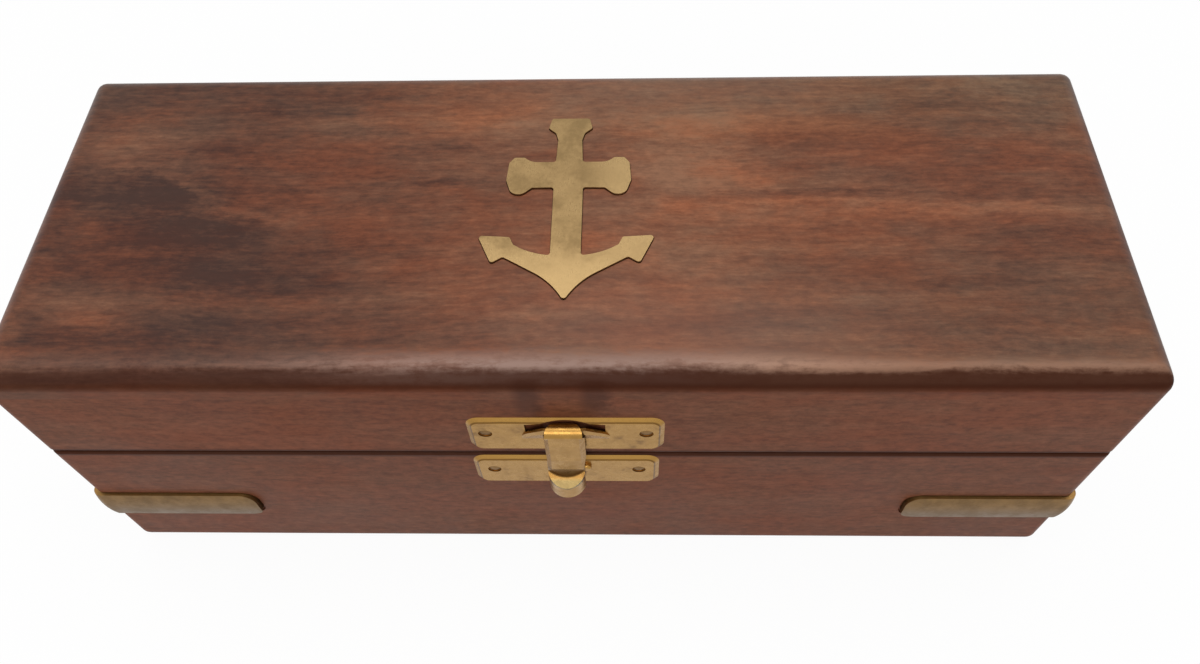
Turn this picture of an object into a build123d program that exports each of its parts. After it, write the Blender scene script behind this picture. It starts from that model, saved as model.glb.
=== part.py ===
from build123d import *

import math
import os

# Telescope box: a hardwood box whose lid is hinged at the back and held by a pressed brass
# hasp. The origin is the middle of the underside, +X runs right along the length, +Y to
# the hinges and +Z up. Sizes are in millimetres and the lid is shut.

os.makedirs("parts", exist_ok=True)

# The wooden box
box_length = 165.0
box_depth = 60.0
base_height = 36.1
lid_height = 22.3
seam_gap = 0.6  # between the rims, kept open by the leaves of the hinges
wall = 7.5
lid_panel = 5.4
floor_panel = 4.5
floor_rebate = 3.0  # how far the floor is let into the walls
corner_round = 1.6
top_round = 3.2
foot_round = 2.5
rim_round = 0.5

# The inside
lining = 1.0  # velvet on card
lining_gap = 0.3  # round the edge of each lining
cradle_length = 10.0
cradle_end = 36.5  # from each end of the box to the middle of a cradle
cradle_gap = 0.1  # from each end of a cradle to the wall
cradle_round = 1.0
scope_axis_z = 28.5  # the middle of the telescope that the cradles carry
eyepiece_radius = 14.0  # the narrow end, on the left
objective_radius = 18.5  # the wide end, on the right
saddle_lining = 0.8

# The hinges
hinge_inset = 2.6  # from the back of the box to the pin
hinge_end = 34.5  # from each end of the box to the middle of a hinge
hinge_length = 20.0
knuckle_count = 5
knuckle_radius = 1.6
knuckle_gap = 0.12
pin_radius = 0.75
pin_clearance = 0.05
pin_stand = 0.25  # how far the pin shows at each end
leaf_width = 4.7  # from the pin
leaf_thickness = 0.8
leaf_gap = 0.1  # from a leaf to the level of the pin
bed_gap = 0.5  # at the ends of the barrel and of the leaves
barrel_gap = 0.25
stop_angle = 51.0  # from the level of the pin to each of the bevels that meet behind an open lid
hinge_nail_spacing = 12.0
hinge_nail_line = 3.1  # from the pin

# Nails
nail_radius = 0.45
nail_length = 6.0
nail_point = 1.2
flat_head_radius = 0.85
flat_head_depth = 0.4
dome_head_radius = 0.95
dome_head_height = 0.18

# The corner straps
strap_long_leg = 27.3
strap_short_leg = 20.0
strap_height = 7.8
strap_z = 16.4  # the middle of a strap
strap_edge = 0.8
strap_crown = 0.4
strap_depth = 0.35  # how far a strap is let into the wood
strap_gap = 0.35
strap_bend = 0.6
strap_end_round = 2.6

# The two plates of the hasp. Levels here and in the next three groups are from the middle of
# the seam.
sheet = 0.45
plate_stand = 0.6
plate_bevel = 0.85
plate_round = 2.0
hasp_x = -0.45
hasp_length = 29.1
hasp_height = 9.75
hasp_z = 6.98
hasp_nail_spacing = 23.8
hasp_nail_rise = 0.9  # from the middle of the plate up to its nails
catch_x = -1.0
catch_length = 29.1
catch_height = 9.25
catch_z = -5.15
catch_nail_spacing = 22.8
catch_nail_rise = 0.7
cup_wall = 0.4
cup_floor = 0.35
cup_gap = 0.1

# The bar that the tongue hangs on, and the window round it
window_length = 11.8
window_top = 10.75
window_low = 6.7
window_arch_length = 8.6
window_arch_rise = 0.8
bar_z = 10.1
bar_height = 1.3
bar_straight = 6.2
bar_shoulder = 13.2  # over the two shoulders, where they are back at the plate
bar_bow = 6.6  # radius of the bend back to the plate
bar_shoulder_z = 7.1  # where the top edge of the bar ends at each shoulder
bar_droop = 6.2  # radius of that edge
bar_foot = 6.4
bar_slot = 0.1  # from each side of the tongue to the shoulders

# The tongue, whose lip hangs a little to the left of its eye
tongue_x = -0.6
lip_x = -0.9
eye_stand = 1.35
eye_radius = 1.25
eye_length = 5.5
eye_corner = 1.0  # from the middle of the roll out to the corners of its round end
shoulder_z = 8.5
heel_z = 2.8  # where the face of the body starts to lean back
heel_lean = 0.15
body_foot_z = -0.5
body_length = 6.0
body_face = 4.5
body_bevel = 0.8
tongue_back = 1.4
neck_rim = 0.05  # from the back of the tongue out to the sides of its rounded neck
neck_rise = 0.95  # and to the middle of it
lip_reach = 1.6  # from there to the edge of the lip
lip_rise = 0.9  # from the edge of the lip up to the neck
lip_top_z = -4.45
lip_foot_z = -7.9
lip_radius = 3.0
lip_length = 5.7
shelf_round = 0.3

# The catch ridge behind the neck of the tongue
ridge_z = -3.1
ridge_length = 6.9
ridge_height = 1.7
ridge_gap = 0.1  # to the back of the tongue
ridge_round = 0.4

# The anchor in the lid
anchor_x = -0.4
anchor_sheet = 0.8
anchor_depth = 0.45
anchor_gap = 0.08
anchor_corner = 0.45

# The right half of the anchor's outline, from its ring to its crown, in straight runs and arcs
anchor_ring = ((0, 18.5), (3.0, 18.5), (3.5, 16.4), (2.3, 15.3), (1.9, 13.8), (2.1, 9.15), (5.0, 9.15))
anchor_stock_top = ((5.0, 9.15), (6.1, 9.4), (7.0, 10.1))
anchor_stock_end = ((7.0, 10.1), (8.6, 10.1), (9.4, 9.0), (9.65, 5.4), (9.0, 3.4))
anchor_stock_foot = ((9.0, 3.4), (7.8, 2.6), (6.6, 3.0))
anchor_shank = ((6.6, 3.0), (5.6, 3.9), (2.25, 3.95), (2.25, -9.1))
anchor_arm_inside = ((2.25, -9.1), (5.1, -8.5), (7.8, -7.1))
anchor_fluke = ((7.8, -7.1), (8.4, -5.7), (13.2, -5.4), (10.9, -10.5), (9.2, -9.35), (4.2, -12.4))
anchor_arm_outside = ((4.2, -12.4), (1.9, -14.4), (0, -17.2))

half_length = box_length / 2
half_depth = box_depth / 2
inner_length = box_length - 2 * wall
inner_depth = box_depth - 2 * wall
pin_y = half_depth - hinge_inset
pin_z = base_height + seam_gap / 2
lid_z = base_height + seam_gap
top_z = lid_z + lid_height
panel_z = top_z - lid_panel
knuckle_pitch = hinge_length / knuckle_count
bar_stand = eye_stand + sheet / 2
neck_stand = tongue_back + neck_rise
lip_stand = neck_stand + lip_reach
floor_top = floor_panel + lining


def face_plane(x):
    """The front of the box, its own X along the length and its own Y up from the seam."""
    return Plane(origin=(x, -half_depth, pin_z), x_dir=(1, 0, 0), z_dir=(0, -1, 0))


def side_plane(x):
    """A plane across the box, its own X out of the front and its own Y up from the seam."""
    return Plane(origin=(x, -half_depth, pin_z), x_dir=(0, -1, 0), z_dir=(-1, 0, 0))


def plan_plane(x, z):
    """A level plane at a height from the seam, seen from below, its own X along the length and
    its own Y out of the front."""
    return Plane(origin=(x, -half_depth, pin_z + z), x_dir=(1, 0, 0), z_dir=(0, 0, -1))


def save(piece, name):
    """Label a finished piece and write it."""
    piece.part.label = name
    export_step(piece.part, "parts/" + name + ".step")


def outer_form(low_z, height, low_round, high_round):
    """The outside of one half of the box as a solid block."""
    with BuildPart() as form:
        with BuildSketch(Plane.XY.offset(low_z)):
            RectangleRounded(box_length, box_depth, corner_round)
        extrude(amount=height)
        fillet(form.faces().sort_by(Axis.Z)[0].edges(), low_round)
        fillet(form.faces().sort_by(Axis.Z)[-1].edges(), high_round)
    return form.part


def hinge_bed():
    """What is cut from the back of both halves: the stop bevels and a bed for each hinge."""
    reach = hinge_inset + corner_round
    spread = reach * math.tan(math.radians(stop_angle))
    bed_depth = pin_y - inner_depth / 2
    with BuildPart() as bed:
        with BuildSketch(Plane.YZ.offset(-half_length)):
            with BuildLine():
                Polyline(
                    (pin_y, pin_z),
                    (pin_y + reach, pin_z - spread),
                    (pin_y + reach, pin_z + spread),
                    close=True,
                )
            make_face()
        extrude(amount=box_length)
        for side_x in (-1, 1):
            bed_start = side_x * (half_length - hinge_end) - hinge_length / 2 - bed_gap
            with BuildSketch(Plane.YZ.offset(bed_start)):
                with Locations((pin_y, pin_z)):
                    Circle(knuckle_radius + barrel_gap)
                with Locations((pin_y - bed_depth / 2, pin_z)):
                    Rectangle(bed_depth, 2 * (leaf_gap + leaf_thickness))
            extrude(amount=hinge_length + 2 * bed_gap)
    return bed.part


def corner_strap(side_x, side_y, gap, edge):
    """A strap bent round one upright corner. With a gap it is the recess for the strap."""
    half_height = strap_height / 2 + gap
    long_end = side_x * (half_length - strap_long_leg - gap)
    short_end = side_y * (half_depth - strap_short_leg - gap)
    bend_x = side_x * (half_length - strap_depth)
    bend_y = side_y * (half_depth - strap_depth)
    start = Plane(origin=(long_end, bend_y, strap_z), x_dir=(0, side_y, 0), z_dir=(side_x, 0, 0))
    with BuildPart() as strap:
        with BuildLine(Plane.XY.offset(strap_z)) as route:
            FilletPolyline(
                (long_end, bend_y), (bend_x, bend_y), (bend_x, short_end), radius=strap_bend
            )
        with BuildSketch(start):
            with BuildLine():
                Polyline((edge, half_height), (0, half_height), (0, -half_height), (edge, -half_height))
                ThreePointArc((edge, -half_height), (edge + strap_crown, 0), (edge, half_height))
            make_face()
        sweep(path=route.wires()[0])
        corners = strap.edges().filter_by(lambda line: abs(line.length - edge) < 0.001)
        fillet(corners, strap_end_round + gap)
    return strap


def flat_nail():
    """A nail down from zero, its countersunk head flush with the ground."""
    with BuildPart() as pin:
        with BuildSketch(Plane.XZ):
            with BuildLine():
                Polyline(
                    (0, 0),
                    (flat_head_radius, 0),
                    (nail_radius, -flat_head_depth),
                    (nail_radius, nail_point - nail_length),
                    (0, -nail_length),
                    close=True,
                )
            make_face()
        revolve(axis=Axis.Z)
    return pin.part


def domed_nail():
    """A nail down from zero, with its domed head on the ground."""
    dome_radius = (dome_head_radius**2 + dome_head_height**2) / (2 * dome_head_height)
    with BuildPart() as pin:
        with BuildSketch(Plane.XZ):
            with BuildLine():
                RadiusArc((0, dome_head_height), (dome_head_radius, 0), dome_radius)
                Polyline(
                    (dome_head_radius, 0),
                    (nail_radius, 0),
                    (nail_radius, nail_point - nail_length),
                    (0, -nail_length),
                    (0, dome_head_height),
                )
            make_face()
        revolve(axis=Axis.Z)
    return pin.part


def nail_pair(seat, spacing, form):
    """Two nails side by side on a plane, driven in against its normal."""
    with BuildPart(seat) as pair:
        with Locations((-spacing / 2, 0), (spacing / 2, 0)):
            add(form)
    return pair


def board(block, low, high):
    """The piece of a block between two opposite corners of a box."""
    middle = [(a + b) / 2 for a, b in zip(low, high)]
    size = [b - a for a, b in zip(low, high)]
    with BuildPart() as piece:
        add(block)
        with Locations(tuple(middle)):
            Box(*size, mode=Mode.INTERSECT)
    return piece


def save_walls(ring, low_z, high_z, half):
    """Cut a ring into its four walls, the end walls set between the long ones."""
    x, y = half_length, half_depth
    corners = {
        "front": ((-x, -y, low_z), (x, wall - y, high_z)),
        "back": ((-x, y - wall, low_z), (x, y, high_z)),
        "left": ((-x, wall - y, low_z), (wall - x, y - wall, high_z)),
        "right": ((x - wall, wall - y, low_z), (x, y - wall, high_z)),
    }
    for place, (low, high) in corners.items():
        save(board(ring, low, high), half + "_" + place + "_wall")


def base_ring(cuts):
    """The four walls of the base in one, with the rebate for the floor."""
    with BuildPart() as ring:
        add(outer_form(0, base_height, foot_round, rim_round))
        with BuildSketch():
            Rectangle(inner_length, inner_depth)
        extrude(amount=base_height, mode=Mode.SUBTRACT)
        with BuildSketch():
            Rectangle(inner_length + 2 * floor_rebate, inner_depth + 2 * floor_rebate)
        extrude(amount=floor_panel, mode=Mode.SUBTRACT)
        for cut in cuts:
            add(cut, mode=Mode.SUBTRACT)
    return ring.part


def base_floor():
    """The floor panel, flush with the underside of the walls."""
    with BuildPart() as panel:
        with BuildSketch():
            Rectangle(inner_length + 2 * floor_rebate, inner_depth + 2 * floor_rebate)
        extrude(amount=floor_panel)
    return panel


def lid_ring(cuts):
    """The four walls of the lid in one, below its panel."""
    with BuildPart() as ring:
        add(outer_form(lid_z, lid_height, rim_round, top_round))
        with BuildSketch(Plane.XY.offset(lid_z)):
            Rectangle(inner_length, inner_depth)
        extrude(amount=lid_height, mode=Mode.SUBTRACT)
        for cut in cuts:
            add(cut, mode=Mode.SUBTRACT)
    return ring.part


def lid_top_panel(recess):
    """The panel glued on the walls of the lid, with the recess for the anchor."""
    low = (-half_length, -half_depth, panel_z)
    high = (half_length, half_depth, top_z)
    with BuildPart() as panel:
        add(board(outer_form(lid_z, lid_height, rim_round, top_round), low, high).part)
        add(recess, mode=Mode.SUBTRACT)
    return panel


def lining_sheet(low_z):
    """A sheet of velvet on card that fills the inside of the box."""
    with BuildPart() as cloth:
        with BuildSketch(Plane.XY.offset(low_z)):
            Rectangle(inner_length - 2 * lining_gap, inner_depth - 2 * lining_gap)
        extrude(amount=lining)
    return cloth


def cradle(centre_x, scope_radius):
    """A wooden cradle with a half round saddle, standing on the lining of the floor."""
    with BuildPart() as block:
        with BuildSketch(Plane.YZ.offset(centre_x - cradle_length / 2)):
            with Locations((0, floor_top)):
                Rectangle(
                    inner_depth - 2 * cradle_gap,
                    scope_axis_z - floor_top,
                    align=(Align.CENTER, Align.MIN),
                )
            with Locations((0, scope_axis_z)):
                Circle(scope_radius + saddle_lining, mode=Mode.SUBTRACT)
        extrude(amount=cradle_length)
        lands = block.faces().filter_by(Axis.Z).group_by(Axis.Z)[-1]
        fillet(lands.edges().filter_by(Axis.Y), cradle_round)
    return block


def saddle(centre_x, scope_radius):
    """The strip of velvet in a cradle."""
    with BuildPart() as cloth:
        with BuildSketch(Plane.YZ.offset(centre_x - cradle_length / 2 + lining_gap)):
            with Locations((0, scope_axis_z)):
                Circle(scope_radius + saddle_lining)
                Circle(scope_radius, mode=Mode.SUBTRACT)
            with Locations((0, scope_axis_z - cradle_round)):
                Rectangle(
                    4 * scope_radius, 4 * scope_radius, align=(Align.CENTER, Align.MIN), mode=Mode.SUBTRACT
                )
        extrude(amount=cradle_length - 2 * lining_gap)
    return cloth


def hinge_nails(centre_x, side):
    """The two nails of a leaf, side -1 in the base and 1 in the lid."""
    level = pin_z + side * leaf_gap
    seat = Plane(
        origin=(centre_x, pin_y - hinge_nail_line, level), x_dir=(1, 0, 0), z_dir=(0, 0, -side)
    )
    return nail_pair(seat, hinge_nail_spacing, flat_nail())


def hinge_leaf(centre_x, side, fixing):
    """A leaf of a butt hinge. The base's leaf has the odd knuckles and the lid's the even ones."""
    start_x = centre_x - hinge_length / 2
    leaf_middle = pin_z + side * (leaf_gap + leaf_thickness / 2)
    with BuildPart() as leaf:
        with BuildSketch(Plane.YZ.offset(start_x)):
            with Locations((pin_y - leaf_width / 2, leaf_middle)):
                Rectangle(leaf_width, leaf_thickness)
            with Locations((pin_y, pin_z)):
                Circle(knuckle_radius)
        extrude(amount=hinge_length)
        for number in range(knuckle_count):
            if (number % 2 == 0) == (side == 1):
                with BuildSketch(Plane.YZ.offset(start_x + number * knuckle_pitch - knuckle_gap)):
                    with Locations((pin_y, pin_z)):
                        Circle(knuckle_radius + knuckle_gap)
                extrude(amount=knuckle_pitch + 2 * knuckle_gap, mode=Mode.SUBTRACT)
        with BuildSketch(Plane.YZ.offset(start_x)):
            with Locations((pin_y, pin_z)):
                Circle(pin_radius + pin_clearance)
        extrude(amount=hinge_length, mode=Mode.SUBTRACT)
        add(fixing, mode=Mode.SUBTRACT)
    return leaf


def hinge_pin(centre_x):
    """The pin through the knuckles, its ends rounded over."""
    length = hinge_length + 2 * pin_stand
    with BuildPart() as pin:
        with BuildSketch(Plane.YZ.offset(centre_x - length / 2)):
            with Locations((pin_y, pin_z)):
                Circle(pin_radius)
        extrude(amount=length)
        fillet(pin.edges().filter_by(GeomType.CIRCLE), pin_stand)
    return pin


def pressed_plate(x, z, length, height, nail_spacing, nail_z):
    """A plate on the front of the box: a shallow dish with a bevelled rim and two cups that
    take the heads of its nails."""
    slope = math.degrees(math.atan(plate_bevel / plate_stand))
    cup_radius = dome_head_radius + cup_gap
    cup_places = ((-nail_spacing / 2, nail_z), (nail_spacing / 2, nail_z))
    with BuildPart() as dish:
        with BuildSketch(face_plane(x)):
            with Locations((0, z)):
                RectangleRounded(length, height, plate_round)
        extrude(amount=plate_stand, taper=slope)
        with BuildSketch(face_plane(x)):
            with Locations((0, z)):
                RectangleRounded(length - 2 * sheet, height - 2 * sheet, plate_round - sheet)
        extrude(amount=plate_stand - sheet, taper=slope, mode=Mode.SUBTRACT)
        with BuildSketch(face_plane(x)):
            with Locations(*cup_places):
                Circle(cup_radius + cup_wall)
        extrude(amount=plate_stand)
        with BuildSketch(face_plane(x).offset(cup_floor)):
            with Locations(*cup_places):
                Circle(cup_radius)
        extrude(amount=plate_stand, mode=Mode.SUBTRACT)
    return dish.part


def plate_nails(x, z, nail_spacing):
    """The two nails of a plate, their heads down in its cups."""
    seat = Plane(origin=(x, -half_depth - cup_floor, pin_z + z), x_dir=(1, 0, 0), z_dir=(0, -1, 0))
    return nail_pair(seat, nail_spacing, domed_nail())


def bar_bulge(skin):
    """The bulge that the bar and its shoulders are pressed into, or with a skin the hollow in it."""
    straight = bar_straight / 2
    shoulder = bar_shoulder / 2
    top = bar_z + bar_height / 2
    low = bar_z - bar_height / 2
    bow = bar_bow - skin
    shoulder_back = bar_stand - bar_bow + math.sqrt(bow**2 - (shoulder - straight) ** 2)
    with BuildPart() as bulge:
        with BuildSketch(plan_plane(hasp_x, top)):
            with BuildLine():
                Line((0, bar_stand - skin), (straight, bar_stand - skin))
                RadiusArc((straight, bar_stand - skin), (shoulder, shoulder_back), bow)
                Polyline((shoulder, shoulder_back), (shoulder, -sheet), (0, -sheet))
                mirror(about=Plane.YZ)
            make_face()
        extrude(amount=top - bar_foot)
        with BuildSketch(side_plane(hasp_x)):
            Polygon(
                (-sheet, top),
                (bar_stand, top),
                (bar_stand - skin, low),
                (plate_stand - skin, bar_foot),
                (-sheet, bar_foot),
                align=None,
            )
        extrude(amount=bar_shoulder, both=True, mode=Mode.INTERSECT)
    return bulge.part


def hasp_bar():
    """The bar pressed out of the upper plate, straight where the tongue hangs on it. Its
    shoulders bend down and back into the plate, on each side of the slot for the tongue."""
    straight = bar_straight / 2
    shoulder = bar_shoulder / 2
    top = bar_z + bar_height / 2
    low = bar_z - bar_height / 2
    with BuildPart() as bar:
        add(bar_bulge(0))
        add(bar_bulge(sheet), mode=Mode.SUBTRACT)
        with BuildSketch(face_plane(hasp_x)):
            with BuildLine():
                Line((0, top), (straight, top))
                RadiusArc((straight, top), (shoulder, bar_shoulder_z), bar_droop)
                Polyline((shoulder, bar_shoulder_z), (shoulder, bar_foot), (0, bar_foot))
                mirror(about=Plane.YZ)
            make_face()
        extrude(amount=2 * bar_stand, mode=Mode.INTERSECT)
        with BuildSketch(face_plane(tongue_x)):
            with Locations((0, low)):
                Rectangle(
                    body_length + 2 * bar_slot, low - bar_foot, align=(Align.CENTER, Align.MAX)
                )
        extrude(amount=2 * bar_stand, mode=Mode.SUBTRACT)
    return bar.part


def latch_plate(fixing):
    """The upper plate, with the window that the tongue turns in and the bar across it."""
    half_window = window_length / 2
    half_arch = window_arch_length / 2
    nail_z = hasp_z + hasp_nail_rise
    with BuildPart() as plate:
        add(pressed_plate(hasp_x, hasp_z, hasp_length, hasp_height, hasp_nail_spacing, nail_z))
        with BuildSketch(face_plane(hasp_x)):
            with BuildLine():
                Polyline(
                    (-half_arch, window_top),
                    (-half_window, window_top),
                    (-half_window, window_low),
                    (half_window, window_low),
                    (half_window, window_top),
                    (half_arch, window_top),
                )
                ThreePointArc(
                    (half_arch, window_top),
                    (0, window_top + window_arch_rise),
                    (-half_arch, window_top),
                )
            make_face()
        extrude(amount=plate_stand, mode=Mode.SUBTRACT)
        add(hasp_bar())
        add(fixing, mode=Mode.SUBTRACT)
    return plate


def catch_plate(fixing):
    """The lower plate, with the ridge that the neck of the tongue snaps down behind."""
    ridge_stand = tongue_back - ridge_gap
    nail_z = catch_z + catch_nail_rise
    with BuildPart() as plate:
        add(pressed_plate(catch_x, catch_z, catch_length, catch_height, catch_nail_spacing, nail_z))
        with BuildSketch(face_plane(hasp_x)):
            with Locations((0, ridge_z)):
                SlotOverall(ridge_length, ridge_height)
        extrude(amount=ridge_stand)
        ridge_top = plate.faces().sort_by(Axis.Y)[0]
        fillet(ridge_top.edges(), ridge_round)
        add(fixing, mode=Mode.SUBTRACT)
    return plate


def tongue_body(skin):
    """The body of the tongue, its sides bevelled and the right one drawn in to the neck."""
    face = body_face / 2 - skin
    side = body_length / 2 - skin
    foot_side = lip_x - tongue_x + lip_length / 2 - skin
    front = eye_stand + eye_radius - skin
    back = tongue_back - 2 * skin
    foot = body_foot_z + skin
    with BuildPart() as body:
        with BuildSketch(side_plane(tongue_x)):
            Polygon(
                (back, foot),
                (front - heel_lean, foot),
                (front, heel_z),
                (front, bar_z),
                (back, shoulder_z + 2 * skin),
                align=None,
            )
        extrude(amount=body_length, both=True)
        with BuildSketch(plan_plane(tongue_x, bar_z)):
            Polygon(
                (-side, 0),
                (-side, front - body_bevel),
                (-face, front),
                (face, front),
                (side, front - body_bevel),
                (side, 0),
                align=None,
            )
        extrude(amount=bar_z - foot, mode=Mode.INTERSECT)
        with BuildSketch(face_plane(tongue_x)):
            Polygon(
                (-side, foot),
                (-side, bar_z),
                (side, bar_z),
                (side, heel_z),
                (foot_side, foot),
                align=None,
            )
        extrude(amount=2 * lip_stand, mode=Mode.INTERSECT)
    return body.part


def tongue_round(skin, stand, side_stand, top, foot):
    """A rounded length of the tongue, standing out to stand in its middle."""
    side = lip_length / 2 - skin
    back = tongue_back - 2 * skin
    with BuildPart() as length:
        with BuildSketch(plan_plane(lip_x, top)):
            with BuildLine():
                Polyline((-side, side_stand), (-side, back), (side, back), (side, side_stand))
                ThreePointArc((side, side_stand), (0, stand), (-side, side_stand))
            make_face()
        extrude(amount=top - foot)
    return length.part


def tongue_lip(skin):
    """The half round lip, its top sloping down and out from the neck."""
    stand = lip_stand - skin
    radius = lip_radius - skin
    side_stand = lip_stand - lip_radius + math.sqrt(radius**2 - (lip_length / 2 - skin) ** 2)
    edge = lip_top_z - skin
    crest = edge + lip_rise * stand / lip_reach
    foot = lip_foot_z - 2 * skin
    with BuildPart() as lip:
        add(tongue_round(skin, stand, side_stand, crest, foot))
        with BuildSketch(side_plane(lip_x)):
            Polygon((0, foot), (stand, foot), (stand, edge), (0, crest), align=None)
        extrude(amount=lip_length, both=True, mode=Mode.INTERSECT)
    return lip.part


def tongue_form(skin):
    """The outside of the tongue below its eye, or with a skin the hollow behind its sheet."""
    neck_side = tongue_back + neck_rim - skin
    neck_top = body_foot_z + 2 * sheet
    with BuildPart() as form:
        add(tongue_body(skin))
        add(tongue_round(skin, neck_stand - skin, neck_side, neck_top, lip_foot_z - 2 * skin))
        add(tongue_lip(skin))
        corner = form.edges().filter_by(GeomType.ELLIPSE).sort_by(Axis.Y)[-1]
        fillet(corner, shelf_round)
    return form.part


def tongue_eye():
    """The roll of the tongue over the bar, the end of its sheet cut round."""
    half = eye_length / 2
    front = eye_stand + eye_radius
    corner = eye_stand + eye_corner
    with BuildPart() as eye:
        with BuildSketch(side_plane(tongue_x)):
            with Locations((eye_stand, bar_z)):
                Circle(eye_radius)
        extrude(amount=half, both=True)
        with BuildSketch(plan_plane(tongue_x, bar_z + eye_radius)):
            with BuildLine():
                Polyline((-half, corner), (-half, front), (half, front), (half, corner))
                ThreePointArc((half, corner), (0, 0), (-half, corner))
            make_face()
        extrude(amount=2 * eye_radius, mode=Mode.INTERSECT)
    return eye.part


def latch_tongue():
    """The tongue of the hasp, pressed from sheet, with its eye rolled round the bar."""
    with BuildPart() as tongue:
        add(tongue_form(0))
        add(tongue_form(sheet), mode=Mode.SUBTRACT)
        add(tongue_eye())
        with BuildSketch(side_plane(tongue_x)):
            with Locations((eye_stand, bar_z)):
                Circle(eye_radius - sheet)
        extrude(amount=body_length, both=True, mode=Mode.SUBTRACT)
    return tongue


def anchor_form(low_z, thickness, gap):
    """The anchor as a plate, its crown to the hinges. With a gap it is the recess for it."""
    with BuildPart() as form:
        with BuildSketch(Plane(origin=(anchor_x, 0, low_z))) as outline:
            with BuildLine():
                Polyline(anchor_ring)
                ThreePointArc(anchor_stock_top)
                Polyline(anchor_stock_end)
                ThreePointArc(anchor_stock_foot)
                Polyline(anchor_shank)
                ThreePointArc(anchor_arm_inside)
                Polyline(anchor_fluke)
                ThreePointArc(anchor_arm_outside)
                mirror(about=Plane.YZ)
            make_face()
            if gap > 0:
                offset(amount=gap, kind=Kind.INTERSECTION)
            fillet(outline.vertices(), anchor_corner)
        extrude(amount=thickness)
    return form


base_cuts = [hinge_bed()]
lid_cuts = [hinge_bed()]

for side_y, depth_name in ((-1, "front"), (1, "back")):
    for side_x, length_name in ((-1, "left"), (1, "right")):
        strap = corner_strap(side_x, side_y, 0, strap_edge)
        save(strap, "corner_strap_" + depth_name + "_" + length_name)
        base_cuts.append(corner_strap(side_x, side_y, strap_gap, 3 * strap_edge).part)

for side_x, place in ((-1, "left"), (1, "right")):
    hinge_x = side_x * (half_length - hinge_end)
    for side, half, cuts in ((-1, "base", base_cuts), (1, "lid", lid_cuts)):
        fixing = hinge_nails(hinge_x, side)
        save(fixing, place + "_hinge_" + half + "_nails")
        save(hinge_leaf(hinge_x, side, fixing.part), place + "_hinge_" + half + "_leaf")
        cuts.append(fixing.part)
    save(hinge_pin(hinge_x), place + "_hinge_pin")

latch_nails = plate_nails(hasp_x, hasp_z + hasp_nail_rise, hasp_nail_spacing)
save(latch_nails, "latch_plate_nails")
save(latch_plate(latch_nails.part), "latch_plate")
lid_cuts.append(latch_nails.part)

catch_nails = plate_nails(catch_x, catch_z + catch_nail_rise, catch_nail_spacing)
save(catch_nails, "catch_plate_nails")
save(catch_plate(catch_nails.part), "catch_plate")
base_cuts.append(catch_nails.part)

save(latch_tongue(), "latch_tongue")

save_walls(base_ring(base_cuts), 0, base_height, "base")
save(base_floor(), "base_floor")
save_walls(lid_ring(lid_cuts), lid_z, panel_z, "lid")
anchor_z = top_z - anchor_depth
save(anchor_form(anchor_z, anchor_sheet, 0), "anchor_inlay")
save(lid_top_panel(anchor_form(anchor_z, anchor_sheet, anchor_gap).part), "lid_top_panel")

save(lining_sheet(floor_panel), "base_lining")
save(lining_sheet(panel_z - lining), "lid_lining")
for side_x, place, scope_radius in ((-1, "left", eyepiece_radius), (1, "right", objective_radius)):
    cradle_x = side_x * (half_length - cradle_end)
    save(cradle(cradle_x, scope_radius), place + "_cradle")
    save(saddle(cradle_x, scope_radius), place + "_saddle_lining")
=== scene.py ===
import math

import bmesh
import bpy
from mathutils import Matrix, Vector, noise


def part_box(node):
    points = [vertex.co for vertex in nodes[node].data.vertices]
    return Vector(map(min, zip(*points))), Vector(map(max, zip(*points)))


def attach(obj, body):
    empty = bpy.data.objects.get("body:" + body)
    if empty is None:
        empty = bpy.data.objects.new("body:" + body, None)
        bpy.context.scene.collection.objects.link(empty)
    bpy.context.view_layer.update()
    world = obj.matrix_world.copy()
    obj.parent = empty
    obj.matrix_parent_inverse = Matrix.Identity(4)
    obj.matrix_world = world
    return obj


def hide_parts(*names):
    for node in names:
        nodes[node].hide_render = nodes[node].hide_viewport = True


# The looks of a telescope box: rosewood under a satin varnish, pressed brass and a velvet lining.
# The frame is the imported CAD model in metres, +X along the box and +Z up. Places inside the
# materials are in millimetres, and colours are linear.

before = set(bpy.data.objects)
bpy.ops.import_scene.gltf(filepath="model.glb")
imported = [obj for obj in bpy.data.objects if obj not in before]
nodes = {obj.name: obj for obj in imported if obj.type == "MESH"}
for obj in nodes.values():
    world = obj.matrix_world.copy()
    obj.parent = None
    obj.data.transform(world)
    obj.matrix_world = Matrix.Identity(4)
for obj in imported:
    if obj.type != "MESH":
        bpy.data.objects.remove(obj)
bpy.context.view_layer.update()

MM = 0.001

# The box without its hardware, in millimetres: half its length and half its width, the level
# of its top and the level of the seam between the base and the lid
panel_corner = Vector(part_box("lid_top_panel")[1]) / MM
HALF_BOX = panel_corner.xy
TOP = panel_corner.z
SEAM = (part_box("base_front_wall")[1][2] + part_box("lid_front_wall")[0][2]) / 2 / MM

# The camera, as fitted to the photograph
CAMERA_PLACE = (0.009314, -0.094868, 0.172171)
CAMERA_TILT = 57.26  # below the horizon
CAMERA_TURN = 3.48  # to the left
CAMERA_ROLL = -3.02
CAMERA_NEAR = 0.005  # nothing closer than this is drawn
SENSOR = 36.0
LENS = 29.053

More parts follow.
